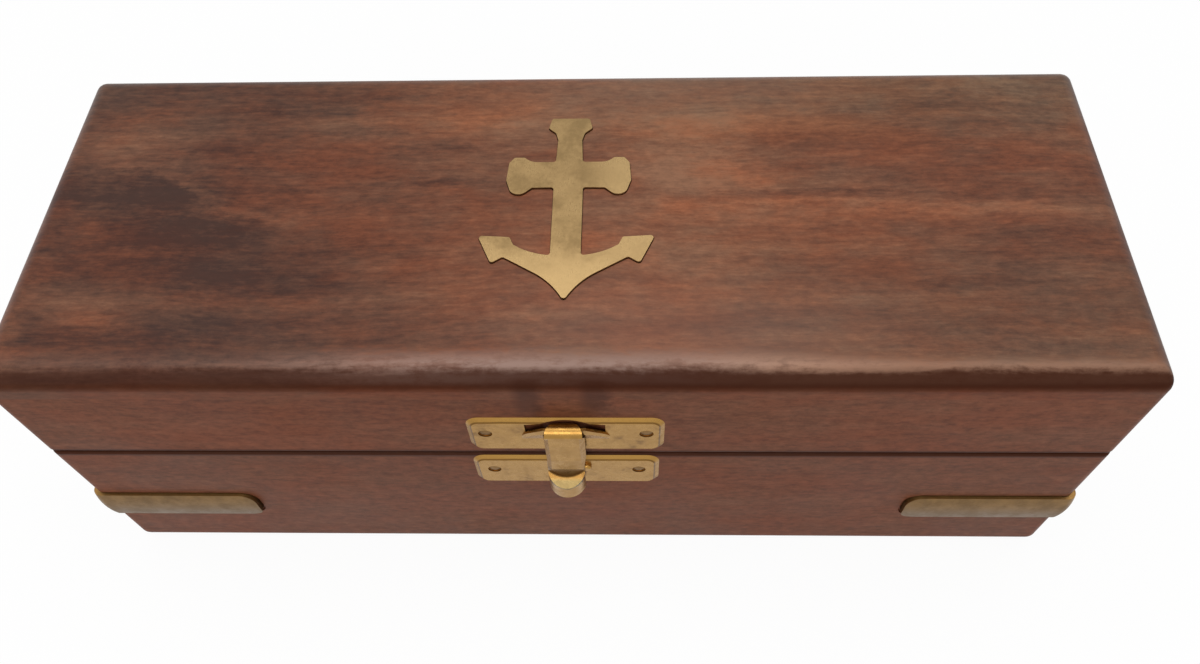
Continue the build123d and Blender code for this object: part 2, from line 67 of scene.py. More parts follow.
# The studio, in metres
WHITE_SHARE = 0.94  # how much of the floor is plain white to the eye and in reflections
PAPER = (0.96, 0.96, 0.96)
FLOOR_REACH = 3.0  # from its middle to each side
FLOOR_DROP = 0.0002  # below the box, which stands on zero
AMBIENT = (0.95, 0.97, 1.0)
AMBIENT_STRENGTH = 0.28
LIGHTS = (  # name, place, target, size, power and colour
    ("overhead", (0.0, 0.12, 0.85), (0, 0, 0), (1.0, 0.6), 4.5, (1.0, 0.99, 0.97)),
    ("front", (-0.1, -0.75, 0.75), (0, 0, 0.03), (0.9, 0.5), 4.4, (1.0, 0.98, 0.96)),
)

# Woods: the dark figure, the body and the light streaks
PANEL_TONES = ((0.050, 0.018, 0.011), (0.150, 0.056, 0.029), (0.262, 0.107, 0.054))
WALL_TONES = ((0.094, 0.029, 0.013), (0.146, 0.049, 0.023), (0.202, 0.076, 0.040))
# The next colour is the dark of the pores, and also the painted shade at the seam and the painted
# reflections over the hasp
PORE_AND_PAINTED_SHADE = (0.045, 0.014, 0.007)
RUSSET_TINT = (1.10, 0.88, 0.76)  # the two hues that the grain changes between
MAUVE_TINT = (0.92, 1.06, 1.16)
BLOOM = (0.185, 0.100, 0.074)  # the dull varnish near the edges of the lid
FADED_TINT = (0.87, 1.16, 1.25)  # towards the back and the right of the front
EDGE_SHEEN = (0.290, 0.182, 0.145)  # a painted highlight, the sheen before the front edge of the lid
EDGE_SHEEN_BROWN = (0.370, 0.205, 0.135)  # the same painted highlight further right
EDGE_SHADE = (0.048, 0.015, 0.008)  # painted shade on the rounding of the front edge, and on the right edge
PANEL_SHINE = 0.15
WALL_SHINE = 0.05

# How much the bands, streaks, fibres, clouds and mottle of the wood count in its tone, and how
# deep the mottle and the fibres show in its brightness
PANEL_GRAIN = (0.62, 0.8, 0.5, 0.42, 0.42)
WALL_GRAIN = (0.4, 0.5, 0.26, 0.45, 0.42)
PANEL_DEPTH = (0.62, 0.42)
WALL_DEPTH = (1.15, 0.55)
PANEL_HUE = 1.0  # how much the two hues show
WALL_HUE = 0.6

SEED_STEPS = (37.0, 53.0, 71.0)  # how far each seed moves the grain along each axis
GRAIN_WANDER = (4.0, 4.0, 4.0)  # how far the grain leaves its straight line

# The boards other than the lid's panel, and the axis of their grain
BOARDS = (
    ("lid_front_wall", "x"),
    ("lid_back_wall", "x"),
    ("lid_left_wall", "y"),
    ("lid_right_wall", "y"),
    ("base_front_wall", "x"),
    ("base_back_wall", "x"),
    ("base_left_wall", "y"),
    ("base_right_wall", "y"),
    ("base_floor", "x"),
    ("left_cradle", "y"),
    ("right_cradle", "y"),
)

# Places on the wood, in millimetres. A pair is where a change starts and where it ends.
TOP_FACE = (TOP - 2.2, TOP - 1.2)  # levels
LID_LIGHTER = (-52.0, 14.0)  # from the left to the middle
LID_DARKER = (12.0, 74.0)  # from the middle to the right
DULL_FRONT = (-6.0, -24.0)
DULL_BACK = (14.0, 28.0)
DULL_LEFT = (-22.0, 10.0)
DULL_RIGHT = (25.0, 58.0)
FADED_FRONT = (-4.0, -20.0)
FADED_FRONT_RIGHT = (8.0, 35.0)
FADED_BACK = (8.0, 24.0)
FADED_BACK_RIGHT = (-20.0, 55.0)
# The painted highlight before the front edge of the lid: its band, where it starts, how it bends
# and where it turns brown
SHEEN_BAND = (-24.4, -27.2)
SHEEN_BAND_START = (-50.0, -12.0)
SHEEN_BAND_BEND = (20.0, 50.0)
SHEEN_BAND_BROWN = (8.0, 36.0)
# The painted shade on the rounded front edge of the lid, and on its right edge
SHADE_BAND = (-27.2, -28.8)
SHADE_BAND_LEVELS = (55.0, 57.2)
SHADE_BAND_ALONG = (-70.0, 30.0)
RIGHT_EDGE = (80.2, 81.8)
FRONT_FACE = (-28.8, -29.6)
REFLECTION_MARKS = (-5.2, 4.2)  # painted reflections: dark marks on the front edge of the lid, above the hasp
REFLECTION_LEVELS = (45.0, 53.5)
REFLECTION_HALF = (3.0, 0.8)
SEAM_DARK = (1.5, 0.7)  # painted shade, by the distance from the seam
RIM_DARK = (-1.2, -0.5)  # painted shade, by the distance from the outer faces

# Brasses: the metal and its tarnish
POLISHED = ((0.390, 0.215, 0.056), (0.255, 0.132, 0.034))
NAILS = ((0.250, 0.140, 0.050), (0.140, 0.078, 0.032))
STRAPS = ((0.225, 0.126, 0.042), (0.135, 0.076, 0.028))
ANCHOR = ((0.340, 0.224, 0.100), (0.180, 0.116, 0.050))
HINGES = ((0.330, 0.198, 0.080), (0.190, 0.110, 0.045))
ANCHOR_BRIGHT = (0.430, 0.290, 0.132)
PAINTED_BRASS_SHADE = (0.105, 0.050, 0.016)  # painted shade, inside the rims of the plates and in the tongue's neck
LIP_SHADE = (0.175, 0.130, 0.056)  # painted shade on the top of the tongue's lip

# Places on the brass, pairs as on the wood. A fade in and a fade out make a line or a band.
# Where the painted shade lies inside the plates' rims, in the tongue's neck and on its lip
PLATE_LINE_IN = (-30.36, -30.48)
PLATE_LINE_OUT = (-30.595, -30.57)
NECK_FOOT = (32.5, 32.9)
NECK_TOP = (35.95, 35.8)
LIP_FOOT = (31.5, 32.0)
LIP_TOP = (32.9, 32.5)
STRAP_DARK = (18.2, 14.0)
ANCHOR_CROWN = (-5.0, -13.0)
ANCHOR_SIDE = (2.0, 8.0)

# How the marks on the brass are squeezed, which draws them out along the axis that is left
EVEN = (1, 1, 1)
ALONG_X = (1, 5, 5)
ALONG_Y = (6, 1, 6)

# The velvet on its card, in millimetres
VELVET_TONES = ((0.075, 0.006, 0.010), (0.130, 0.012, 0.018))
VELVET_ROOT = (0.050, 0.004, 0.006)
VELVET_SHEEN = (0.9, 0.35, 0.38)
CLOTH_EDGE = 0.7  # the radius of its turned edge
CLOTH_TURNS = (0, 22.5, 45, 67.5, 90)  # degrees round that edge, where it has points
CLOTH_SLACK = 0.06  # how far it stays below the height of its solid
CLOTH_SWELL = 0.14  # how deep its slow waves are
CLOTH_WAVES = (0.11, 0.16)  # per millimetre, along it and across it
CLOTH_PILE = 0.05  # how uneven its pile is
PILE_WAVES = 0.9
PILE_SEED = 3.0
CLOTH_STEP = 2.0  # between its points, where it lies flat
CLOTH_JOIN = 0.001  # points closer than this become one
SADDLE_STEP = 0.9
SADDLE_THICK = 0.8

# The figure of the lid: x, y, half length, half width, turn in degrees, strength
DARK_FIGURE = (
    (-62.0, -1.0, 20.0, 8.0, -22.0, 0.34),
    (-48.0, -10.0, 22.0, 6.0, -10.0, 0.26),
    (-78.0, 4.0, 7.0, 10.0, 0.0, 0.24),
    (-46.0, -21.0, 30.0, 5.0, 0.0, 0.11),
    (-60.0, 27.5, 18.0, 4.0, 0.0, 0.12),
    (-68.0, -10.0, 9.0, 3.5, -12.0, 0.14),
    (-59.0, -16.5, 9.0, 3.0, -8.0, 0.12),
    (32.0, -26.0, 16.0, 2.0, 0.0, 0.12),
    (-58.0, 13.0, 8.0, 4.0, -20.0, 0.17),
    (56.0, 19.0, 22.0, 5.0, -3.0, 0.12),
    (52.0, -4.5, 30.0, 1.6, -2.0, 0.14),
    (50.0, -13.0, 28.0, 2.4, -2.0, 0.14),
    (22.0, -20.5, 26.0, 2.0, 3.0, 0.12),
    (42.0, 3.2, 24.0, 0.6, -1.0, 0.17),
    (-22.0, 12.5, 9.0, 1.1, -4.0, 0.17),
    (-20.0, 6.0, 8.0, 0.9, 3.0, 0.17),
    (-30.0, -8.0, 20.0, 3.4, 4.0, 0.25),
    (56.0, -23.0, 20.0, 4.0, 0.0, 0.12),
)
LIGHT_FIGURE = (
    (-72.0, 14.0, 13.0, 6.0, 10.0, 0.13),
    (64.0, 25.0, 14.0, 2.5, 0.0, 0.10),
    (-59.0, 4.5, 8.5, 1.6, -42.0, 0.30),
    (-50.0, -0.8, 10.0, 1.5, -15.0, 0.27),
    (-70.0, 8.6, 10.0, 1.3, -5.0, 0.23),
    (-76.0, -15.0, 8.0, 3.2, -25.0, 0.12),
    (-81.0, -24.0, 4.5, 6.0, 0.0, 0.30),
    (-68.0, -19.5, 8.0, 1.5, -20.0, 0.22),
    (-40.0, 10.0, 20.0, 9.0, 0.0, 0.08),
    (-14.0, 20.0, 26.0, 5.0, 0.0, 0.16),
    (18.0, 8.0, 13.0, 4.5, -5.0, 0.33),
    (22.0, 17.0, 18.0, 3.0, 0.0, 0.20),
    (36.0, 1.0, 24.0, 0.8, 0.0, 0.23),
    (66.0, -1.0, 15.0, 1.4, -3.0, 0.22),
    (-3.0, -19.0, 14.0, 1.2, 0.0, 0.19),
)
FIGURE_FADE = (0.2, 1.4)  # from the middle of a patch, in its half lengths
FIGURE_TEAR = (16.0, 10.0, 0.0)  # how far its outline is pulled about, from side to side
FIGURE_TALL = 1000.0  # so tall that a patch is alike at every level


class Graph:
    """The nodes of one material. Each call adds a node and gives the socket that it feeds."""

    def __init__(self, name):
        self.material = bpy.data.materials.new(name)
        self.material.use_nodes = True
        self.tree = self.material.node_tree
        self.shader = self.tree.nodes["Principled BSDF"]
        metres = self.add("ShaderNodeTexCoord", "Object")
        self.place = self.scaled(metres, (1 / MM, 1 / MM, 1 / MM))

    def put(self, socket, value):
        """Feed an input from another socket, or set it to a plain value."""
        if isinstance(value, bpy.types.NodeSocket):
            self.tree.links.new(value, socket)
        else:
            socket.default_value = value

    def add(self, kind, output, inputs=None, **settings):
        """A node with its settings and inputs."""
        node = self.tree.nodes.new(kind)
        for key, value in settings.items():
            setattr(node, key, value)
        for key, value in (inputs or {}).items():
            self.put(node.inputs[key], value)
        return node.outputs[output]

    def scaled(self, place, scale, shift=(0, 0, 0)):
        """A place stretched and then shifted."""
        return self.add(
            "ShaderNodeVectorMath", 0, {0: place, 1: scale, 2: shift}, operation="MULTIPLY_ADD"
        )

    def moved(self, place, shift):
        """A place and a shift that other nodes give."""
        return self.add("ShaderNodeVectorMath", 0, {0: place, 1: shift}, operation="ADD")

    def maths(self, operation, first, second=0.0, clamp=False):
        """Two numbers put together."""
        return self.add(
            "ShaderNodeMath", 0, {0: first, 1: second}, operation=operation, use_clamp=clamp
        )

    def times(self, *values):
        """Several numbers multiplied."""
        product = values[0]
        for value in values[1:]:
            product = self.maths("MULTIPLY", product, value)
        return product

    def axis(self, number):
        """One coordinate of the place, 0 for x, 1 for y and 2 for z."""
        return self.add("ShaderNodeSeparateXYZ", number, {0: self.place})

    def total(self, start, parts):
        """A number and, for each value and weight, the value's distance from a half times its
        weight."""
        start = self.maths("SUBTRACT", start, 0.5 * sum(weight for _, weight in parts))
        for value, weight in parts:
            start = self.add(
                "ShaderNodeMath", 0, {0: value, 1: weight, 2: start}, operation="MULTIPLY_ADD"
            )
        return start

    def noise(self, place, scale, detail, roughness=0.5, output=0):
        """Soft noise from 0 to 1, as a number, or with output 1 as a colour."""
        return self.add(
            "ShaderNodeTexNoise",
            output,
            {"Vector": place, "Scale": scale, "Detail": detail, "Roughness": roughness},
        )

    def drawn(self, place, axis, squeeze, **settings):
        """Noise drawn out along x or y, by squeezing the place across it."""
        squeezed = (1, squeeze, squeeze) if axis == "x" else (squeeze, 1, squeeze)
        return self.noise(self.scaled(place, squeezed), **settings)

    def fade(self, value, span, start=0.0, end=1.0):
        """A smooth step from start, at the first end of a span of the value, to end."""
        low, high = span
        return self.add(
            "ShaderNodeMapRange",
            0,
            {0: value, 1: low, 2: high, 3: start, 4: end},
            interpolation_type="SMOOTHSTEP",
        )

    def mix(self, share, first, second, blend="MIX"):
        """A colour between two others, by the sockets that the node has for colours."""
        inputs = {0: share, 6: first, 7: second}
        return self.add("ShaderNodeMix", 2, inputs, data_type="RGBA", blend_type=blend)

    def patch(self, place, spot):
        """The strength of an oval patch at each point of the lid, nothing outside it."""
        x, y, long, wide, turn, strength = spot
        local = self.add(
            "ShaderNodeMapping",
            0,
            {
                "Vector": place,
                "Location": (x, y, 0),
                "Rotation": (0, 0, math.radians(turn)),
                "Scale": (long, wide, FIGURE_TALL),
            },
            vector_type="TEXTURE",
        )
        distance = self.add("ShaderNodeVectorMath", 1, {0: local}, operation="LENGTH")
        return self.fade(distance, FIGURE_FADE, start=strength, end=0.0)

    def patches(self, place, spots):
        """Several patches together, the strongest one showing at each point."""
        strongest = self.patch(place, spots[0])
        for spot in spots[1:]:
            strongest = self.maths("MAXIMUM", strongest, self.patch(place, spot))
        return strongest

    def bump(self, height, strength, depth):
        """A normal from a height of 0 to 1, depth in millimetres."""
        return self.add(
            "ShaderNodeBump", 0, {"Strength": strength, "Distance": depth * MM, "Height": height}
        )

    def finish(self, **inputs):
        """Feed the shader, with underscores for the spaces in the names of its inputs."""
        for key, value in inputs.items():
            self.put(self.shader.inputs[key.replace("_", " ")], value)
        return self.material


def rgba(colour):
    """The colour, opaque."""
    return (*colour, 1.0)


def lid_tone(graph, shade):
    """The slow change of tone over the lid, with its dark and light figure."""
    x = graph.axis(0)
    shade = graph.maths("ADD", shade, graph.fade(x, LID_LIGHTER, start=-0.22, end=0.24))
    shade = graph.maths("ADD", shade, graph.fade(x, LID_DARKER, end=-0.26))
    stretched = graph.scaled(graph.place, (1, 1.8, 1))
    ragged = graph.noise(stretched, scale=0.10, detail=7, roughness=0.68, output=1)
    half = [-pull / 2 for pull in FIGURE_TEAR]
    torn = graph.moved(graph.place, graph.scaled(ragged, FIGURE_TEAR, half))
    shade = graph.maths("SUBTRACT", shade, graph.patches(torn, DARK_FIGURE))
    return graph.maths("ADD", shade, graph.patches(torn, LIGHT_FIGURE))


def lid_varnish(graph, colour, above):
    """The dull varnish towards the front and the back of the lid, and its faded corners."""
    x, y = graph.axis(0), graph.axis(1)
    dull = graph.maths(
        "MAXIMUM", graph.fade(y, DULL_FRONT, end=0.34), graph.fade(y, DULL_BACK, end=0.26)
    )
    middle = graph.times(
        graph.fade(x, DULL_LEFT, start=0.05), graph.fade(x, DULL_RIGHT, start=1.0, end=0.1)
    )
    colour = graph.mix(graph.times(dull, middle, above), colour, rgba(BLOOM))
    back = graph.times(graph.fade(y, FADED_BACK), graph.fade(x, FADED_BACK_RIGHT, start=0.35))
    front = graph.times(graph.fade(y, FADED_FRONT, end=0.5), graph.fade(x, FADED_FRONT_RIGHT))
    faded = graph.times(graph.maths("MAXIMUM", back, front), above)
    return graph.mix(faded, colour, rgba(FADED_TINT), "MULTIPLY")


def lid_edges(graph, colour, streaks, mottle, above):
    """The painted highlight before the rounded front edge of the lid, the painted shade on the
    rounding and on the right edge. Gives the new colour and how much of the painted shade shows."""
    x, y, z = (graph.axis(number) for number in range(3))
    ragged = graph.total(y, [(streaks, 3.4), (mottle, 2.2)])
    ragged = graph.maths("ADD", ragged, graph.fade(x, SHEEN_BAND_BEND, end=1.5))
    patchy = graph.total(0.5, [(streaks, 1.4), (mottle, 1.0)])
    # painted highlight: a light band that stands in for the sheen at the start of the front edge's
    # rounding
    painted_sheen = graph.times(
        graph.fade(ragged, SHEEN_BAND),
        graph.fade(x, SHEEN_BAND_START, start=0.12),
        graph.fade(patchy, (0.25, 0.65), start=0.45),
        above,
    )
    light = graph.mix(graph.fade(x, SHEEN_BAND_BROWN), rgba(EDGE_SHEEN), rgba(EDGE_SHEEN_BROWN))
    colour = graph.mix(painted_sheen, colour, light)

    # painted shade on the rounding of the front edge and on the right edge
    uneven = graph.total(y, [(streaks, 1.8), (mottle, 0.9)])
    edge = graph.times(
        graph.fade(uneven, SHADE_BAND),
        graph.fade(z, SHADE_BAND_LEVELS),
        graph.fade(x, SHADE_BAND_ALONG, start=0.72, end=0.94),
    )
    side = graph.fade(graph.total(x, [(mottle, 1.2)]), RIGHT_EDGE, end=0.6)
    edge = graph.maths("MAXIMUM", edge, graph.times(side, above))
    return graph.mix(edge, colour, rgba(EDGE_SHADE)), edge


def painted_reflections(graph, colour, mottle):
    """Painted reflections: dark marks over the hasp, on the panel and on the front below it."""
    x, y, z = (graph.axis(number) for number in range(3))
    reach = graph.times(graph.fade(y, FRONT_FACE), graph.fade(z, REFLECTION_LEVELS))
    wavy = graph.total(x, [(mottle, 2.4)])
    for place in REFLECTION_MARKS:
        off = graph.maths("ABSOLUTE", graph.maths("SUBTRACT", wavy, place))
        reflection = graph.times(graph.fade(off, REFLECTION_HALF, end=0.62), reach)
        colour = graph.mix(reflection, colour, rgba(PORE_AND_PAINTED_SHADE))
    return colour


def seam_shade(graph, colour):
    """Painted shade: darker wood along the seam between the base and the lid, at the outer edges
    of the rims.
    """
    off = graph.maths("ABSOLUTE", graph.maths("SUBTRACT", graph.axis(2), SEAM))
    out = [
        graph.maths("SUBTRACT", graph.maths("ABSOLUTE", graph.axis(number)), half)
        for number, half in enumerate(HALF_BOX)
    ]
    rim = graph.fade(graph.maths("MAXIMUM", *out), RIM_DARK)
    dark = graph.times(rim, graph.fade(off, SEAM_DARK, end=0.85))
    return graph.mix(dark, colour, rgba(PORE_AND_PAINTED_SHADE))


def grain(graph, board, axis):
    """The bands, streaks, fibres, clouds and mottle of a board, each of them noise."""
    drift = graph.noise(board, scale=0.022, detail=2)
    wander = graph.add(
        "ShaderNodeVectorMath", 0, {0: GRAIN_WANDER, "Scale": drift}, operation="SCALE"
    )
    bent = graph.moved(board, wander)
    bands = graph.drawn(bent, axis, squeeze=22, scale=0.008, detail=3)
    streaks = graph.drawn(bent, axis, squeeze=10, scale=0.05, detail=6, roughness=0.66)
    fibres = graph.drawn(bent, axis, squeeze=5, scale=0.35, detail=4, roughness=0.65)
    clouds = graph.noise(board, scale=0.05, detail=4, roughness=0.6)
    mottle = graph.drawn(bent, axis, squeeze=1.7, scale=0.55, detail=5, roughness=0.72)
    return bands, streaks, fibres, clouds, mottle


def toned(graph, shade, dark, body, light):
    """The colour for a shade, from dark at 0 by way of the body at a half to light at 1."""
    twice = graph.times(shade, 2.0)
    colour = graph.mix(graph.maths("MULTIPLY", shade, 2.0, clamp=True), dark, body)
    return graph.mix(graph.maths("SUBTRACT", twice, 1.0, clamp=True), colour, light)


def rosewood(name, axis, seed, lid=False):
    """Varnished rosewood, its grain along an axis. Each board has a seed of its own, and the lid's
    panel has its figure on the top."""
    graph = Graph(name)
    board = graph.scaled(graph.place, (1, 1, 1), [seed * step for step in SEED_STEPS])
    parts = grain(graph, board, axis)
    shade = graph.total(0.5, list(zip(parts, PANEL_GRAIN if lid else WALL_GRAIN)))
    tones = [rgba(tone) for tone in WALL_TONES]
    if lid:
        above = graph.fade(graph.axis(2), TOP_FACE)
        figured = graph.maths("SUBTRACT", lid_tone(graph, shade), shade)
        shade = graph.maths("ADD", shade, graph.times(figured, above))
        tones = [graph.mix(above, wall, rgba(top)) for wall, top in zip(tones, PANEL_TONES)]
    colour = toned(graph, shade, *tones)
    hue = graph.drawn(board, axis, squeeze=2.4, scale=0.045, detail=6, roughness=0.66)
    tint = graph.mix(graph.fade(hue, (0.32, 0.68)), rgba(MAUVE_TINT), rgba(RUSSET_TINT))
    colour = graph.mix(PANEL_HUE if lid else WALL_HUE, colour, tint, "MULTIPLY")

    pores = graph.drawn(board, axis, squeeze=10, scale=0.5, detail=2)
    pores = graph.fade(pores, (0.66, 0.76))
    colour = graph.mix(graph.times(pores, 0.5), colour, rgba(PORE_AND_PAINTED_SHADE))
    _, streaks, fibres, clouds, mottle = parts
    depth = PANEL_DEPTH if lid else WALL_DEPTH
    contrast = graph.total(1.0, list(zip((mottle, fibres), depth)))
    colour = graph.mix(1.0, colour, contrast, "MULTIPLY")
    shine = WALL_SHINE
    if lid:
        colour = lid_varnish(graph, colour, above)
        colour, edge = lid_edges(graph, colour, streaks, mottle, above)
        shine = graph.fade(above, (0.0, 1.0), start=WALL_SHINE, end=PANEL_SHINE)
        shine = graph.times(shine, graph.maths("SUBTRACT", 1.0, edge))
    else:
        colour = seam_shade(graph, colour)
    colour = painted_reflections(graph, colour, mottle)

    relief = graph.total(0.5, [(fibres, 0.5), (mottle, 0.5), (pores, -1.0)])
    return graph.finish(
        Base_Color=colour,
        Roughness=graph.fade(clouds, (0.3, 0.7), start=0.34, end=0.46),
        Specular_IOR_Level=shine,
        Normal=graph.bump(relief, strength=0.3, depth=0.05),
    )


def brass(name, tones, share, roughness, squeeze=EVEN, size=0.35, marked=()):
    """Brass with a share of tarnish, in spots whose size is in waves per millimetre, and with
    marks squeezed along each axis. Marked pairs a function for where another colour shows with
    that colour."""
    graph = Graph(name)
    metal, tarnish = (rgba(tone) for tone in tones)
    marks = graph.noise(graph.scaled(graph.place, squeeze), scale=1.4, detail=5, roughness=0.6)
    spots = graph.noise(graph.place, scale=size, detail=5, roughness=0.62)
    specks = graph.noise(graph.place, scale=2.3, detail=3, roughness=0.55)
    skin = graph.mix(graph.times(graph.fade(spots, (0.36, 0.68)), share), metal, tarnish)
    skin = graph.mix(graph.times(graph.fade(specks, (0.55, 0.75)), 0.5 * share), skin, tarnish)
    for where, other in marked:
        skin = graph.mix(where(graph, spots), skin, rgba(other))
    uneven = graph.maths("ADD", marks, spots)
    relief = graph.maths("ADD", graph.times(marks, 0.6), spots)
    return graph.finish(
        Base_Color=skin,
        Metallic=1.0,
        Roughness=graph.fade(uneven, (0.7, 1.3), start=roughness - 0.06, end=roughness + 0.1),
        Normal=graph.bump(relief, strength=0.3, depth=0.06),
    )


def rim_painted_shade(graph, spots):
    """Painted shade: the dark line inside the rim of a plate, where its bevel meets its face."""
    ragged = graph.total(graph.axis(1), [(spots, 0.10)])
    return graph.times(
        graph.fade(ragged, PLATE_LINE_IN), graph.fade(ragged, PLATE_LINE_OUT, end=0.75)
    )


def neck_painted_shade(graph, spots):
    """Painted shade in the dark neck of the tongue, between its body and its lip."""
    z = graph.axis(2)
    return graph.times(graph.fade(z, NECK_FOOT), graph.fade(z, NECK_TOP, end=0.62))


def lip_painted_shade(graph, spots):
    """Painted shade that dulls the top of the tongue's lip."""
    z = graph.axis(2)
    ragged = graph.total(z, [(spots, 0.8)])
    return graph.times(graph.fade(ragged, LIP_FOOT), graph.fade(z, LIP_TOP, end=0.9))


def strap_shade(graph, spots):
    """The darker lower half of a strap."""
    return graph.fade(graph.total(graph.axis(2), [(spots, 3.0)]), STRAP_DARK, end=0.8)


def anchor_wear(graph, spots):
    """The brighter crown and the rubbed right side of the anchor."""
    crown = graph.fade(graph.total(graph.axis(1), [(spots, 8.0)]), ANCHOR_CROWN, end=0.75)
    side = graph.fade(graph.total(graph.axis(0), [(spots, 6.0)]), ANCHOR_SIDE, end=0.5)
    return graph.maths("MAXIMUM", crown, side)


def velvet(name):
    """A short deep red pile."""
    graph = Graph(name)
    dark, light = (rgba(tone) for tone in VELVET_TONES)
    pile = graph.noise(graph.place, scale=4.0, detail=3, roughness=0.6)
    brushed = graph.noise(graph.place, scale=0.09, detail=3)
    colour = graph.mix(graph.fade(brushed, (0.35, 0.65)), dark, light)
    colour = graph.mix(graph.fade(pile, (0.3, 0.7), end=0.5), colour, rgba(VELVET_ROOT))
    return graph.finish(
        Base_Color=colour,
        Roughness=0.85,
        Sheen_Weight=0.8,
        Sheen_Roughness=0.35,
        Sheen_Tint=rgba(VELVET_SHEEN),
        Normal=graph.bump(pile, strength=0.6, depth=0.25),
    )


def dress(name, material):
    """Give a CAD node a material."""
    slots = nodes[name].data.materials
    slots.clear()
    slots.append(material)


def make_materials():
    """Every CAD node in its own finish."""
    dress("lid_top_panel", rosewood("rosewood_lid_panel", "x", seed=0, lid=True))
    for seed, (name, axis) in enumerate(BOARDS, 1):
        dress(name, rosewood("rosewood_" + name, axis, seed))

    # painted shade inside the plates' rims, in the tongue's neck and on its lip
    rim_shading = ((rim_painted_shade, PAINTED_BRASS_SHADE),)
    plate = brass("brass_plate", POLISHED, share=0.35, roughness=0.30, marked=rim_shading)
    marks = ((neck_painted_shade, PAINTED_BRASS_SHADE), (lip_painted_shade, LIP_SHADE))
    tongue = brass("brass_tongue", POLISHED, share=0.35, roughness=0.30, marked=marks)
    heads = brass("brass_nails", NAILS, share=0.70, roughness=0.45)
    shaded = ((strap_shade, STRAPS[1]),)
    strap = brass(
        "brass_strap", STRAPS, share=0.65, roughness=0.42, squeeze=ALONG_X, marked=shaded
    )
    inlay = brass(
        "brass_anchor",
        ANCHOR,
        share=0.80,
        roughness=0.32,
        squeeze=ALONG_Y,
        size=0.24,
        marked=((anchor_wear, ANCHOR_BRIGHT),),
    )
    hinge = brass("brass_hinge", HINGES, share=0.60, roughness=0.34, squeeze=ALONG_X)
    for name in nodes:
        if "anchor" in name:
            dress(name, inlay)
        elif "strap" in name:
            dress(name, strap)
        elif "hinge" in name:
            dress(name, hinge)
        elif "tongue" in name:
            dress(name, tongue)
        elif "latch" in name or "catch" in name:
            dress(name, heads if "nails" in name else plate)


def stations(length, step):
    """Places from one end of a length to the other, in millimetres from its middle, close
    together in the rounded edges."""
    rim = [CLOTH_EDGE * (1 - math.cos(math.radians(turn))) for turn in CLOTH_TURNS]
    count = round((length - 2 * CLOTH_EDGE) / step)
    flat = [CLOTH_EDGE + (length - 2 * CLOTH_EDGE) * n / count for n in range(1, count)]
    return [place - length / 2 for place in rim + flat + [length - r for r in reversed(rim)]]


def cloth_height(a, b, size, thick, seed):
    """How high the pile stands at a spot on a piece, with a rounded edge and slow waves."""
    length, width = size
    inset = min(length / 2 - abs(a), width / 2 - abs(b), CLOTH_EDGE) / CLOTH_EDGE
    fold = math.sqrt(max(0.0, 1 - (1 - inset) ** 2))
    slow, quick = CLOTH_WAVES
    swell = 0.5 + 0.5 * noise.noise(Vector((a * slow, b * quick, seed)))
    pile = 0.5 + 0.5 * noise.noise(Vector((a * PILE_WAVES, b * PILE_WAVES, PILE_SEED)))
    return (thick - CLOTH_SLACK - CLOTH_SWELL * swell - CLOTH_PILE * pile) * fold


def cloth_mesh(name, size, thick, place, step):
    """The closed mesh of a piece of velvet on card, its pile and its back joined at the edges."""
    along, over = (stations(side, step) for side in size)
    mesh = bmesh.new()
    faces, backs = [], []
    for a in along:
        for b in over:
            height = cloth_height(a, b, size, thick, len(name))
            faces.append(mesh.verts.new(Vector(place(a, b, height)) * MM))
            backs.append(mesh.verts.new(Vector(place(a, b, 0.0)) * MM))
    count = len(over)
    for i in range(len(along) - 1):
        for j in range(count - 1):
            ring = (i * count + j, i * count + j + 1, (i + 1) * count + j + 1, (i + 1) * count + j)
            mesh.faces.new([faces[k] for k in ring])
            mesh.faces.new([backs[k] for k in reversed(ring)])
    bmesh.ops.remove_doubles(mesh, verts=mesh.verts[:], dist=CLOTH_JOIN * MM)
    bmesh.ops.recalc_face_normals(mesh, faces=mesh.faces[:])
    for face in mesh.faces:
        face.smooth = True
    data = bpy.data.meshes.new(name)
    mesh.to_mesh(data)
    mesh.free()
    return data


def lay_cloth(name, node, size, thick, place, step=CLOTH_STEP):
    """A piece of velvet in place of a CAD lining. The size is its length and width, and place
    gives the point, in millimetres, for a spot on it and a height over its back."""
    cloth = bpy.data.objects.new(name, cloth_mesh(name, size, thick, place, step))
    bpy.context.collection.objects.link(cloth)
    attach(cloth, "lid" if node == "lid_lining" else "base")
    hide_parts(node)
    return cloth


def flat_place(low, high, up):
    """The places on a flat lining between two corners, which faces up for 1 and down for -1."""
    middle = (low + high) / 2
    back = low.z if up > 0 else high.z

    def place(a, b, height):
        return (middle.x + a, middle.y + b, back + up * height)

    return place


def bent_place(low, high, radius):
    """The places on the lining of a saddle, which runs round the saddle with its length."""
    middle = (low + high) / 2

    def place(a, b, height):
        turn = a / radius
        hold = radius - height
        across_box = middle.y + hold * math.sin(turn)
        return (middle.x + b, across_box, low.z + radius - hold * math.cos(turn))

    return place


def make_linings():
    """The velvet in the base, in the lid and in the two cradles."""
    cloths = []
    for name, node, carrier, held, up in (
        ("velvet_floor", "base_lining", "base_floor", "laid", 1),
        ("velvet_lid", "lid_lining", "lid_top_panel", "stretched", -1),
    ):
        low, high = (Vector(corner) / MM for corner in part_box(node))
        span = high - low
        place = flat_place(low, high, up)
        cloths.append(lay_cloth(name, node, (span.x, span.y), span.z, place))
    for side in ("left", "right"):
        node = side + "_saddle_lining"
        low, high = (Vector(corner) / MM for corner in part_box(node))
        span = high - low
        radius = (span.y**2 / 4 + span.z**2) / (2 * span.z)
        reach = math.acos(1 - span.z / radius)
        cloths.append(
            lay_cloth(
                "velvet_" + side + "_saddle",
                node,
                (2 * reach * radius, span.x),
                SADDLE_THICK,
                bent_place(low, high, radius),
                step=SADDLE_STEP,
            )
        )
    pile = velvet("velvet_maroon")
    for cloth in cloths:
        cloth.data.materials.append(pile)


